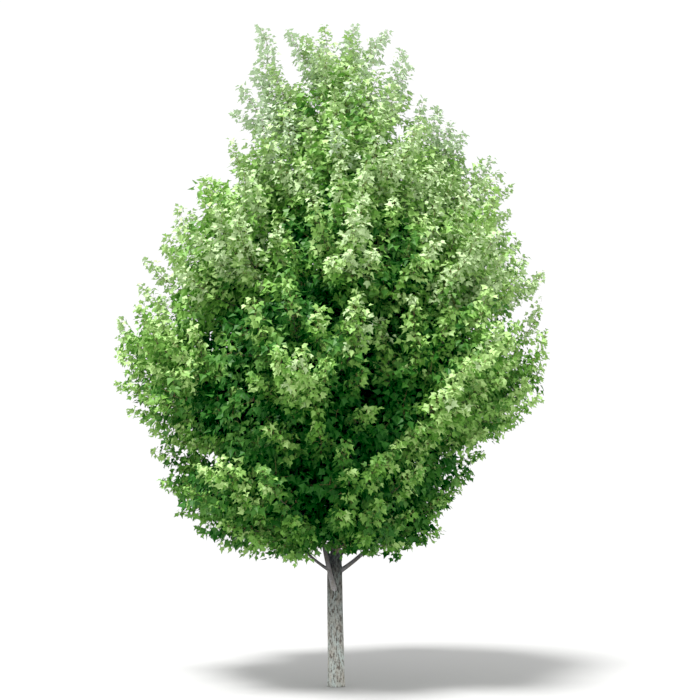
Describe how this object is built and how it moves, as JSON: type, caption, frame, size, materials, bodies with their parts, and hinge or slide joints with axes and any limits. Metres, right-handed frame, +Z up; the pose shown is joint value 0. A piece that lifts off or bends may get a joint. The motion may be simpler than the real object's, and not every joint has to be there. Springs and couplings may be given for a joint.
{
  "type": "red maple tree",
  "caption": "Whole young red maple in summer leaf: a straight grey trunk that forks low into ascending boughs under a broad, dense, upright crown.",
  "frame": {"origin": "middle of the flat cut under the trunk, at ground level", "axes": "+Z up along the trunk; -Y faces the camera of the reference view; +X is the right-hand side in that view"},
  "size_m": [5.2658, 5.0934, 8.4],
  "materials": {
    "trunk_bark": "rough grey bark with brown fissures",
    "bough_bark": "smooth silver-grey young bark",
    "leaves": "mid-green summer leaves, paler yellow-green at the tips"
  },
  "bodies": {
    "root": {"bough_back_left": "bough_bark", "bough_back_right": "bough_bark", "bough_front_left": "bough_bark", "bough_left": "bough_bark", "bough_right": "bough_bark", "foliage_leader": "leaves", "foliage_low_back": "leaves", "foliage_low_back_left": "leaves", "foliage_low_front": "leaves", "foliage_low_front_right": "leaves", "foliage_low_left": "leaves", "foliage_low_right": "leaves", "foliage_middle_back": "leaves", "foliage_middle_back_right": "leaves", "foliage_middle_front": "leaves", "foliage_middle_front_left": "leaves", "foliage_middle_left": "leaves", "foliage_middle_right": "leaves", "foliage_skirt_back_left": "leaves", "foliage_skirt_back_right": "leaves", "foliage_skirt_front_left": "leaves", "foliage_skirt_front_right": "leaves", "foliage_skirt_left": "leaves", "foliage_skirt_right": "leaves", "foliage_top_back_right": "leaves", "foliage_top_front": "leaves", "foliage_top_left": "leaves", "foliage_upper_back": "leaves", "foliage_upper_front": "leaves", "foliage_upper_left": "leaves", "foliage_upper_right": "leaves", "trunk": "trunk_bark"}
  },
  "joints": []
}
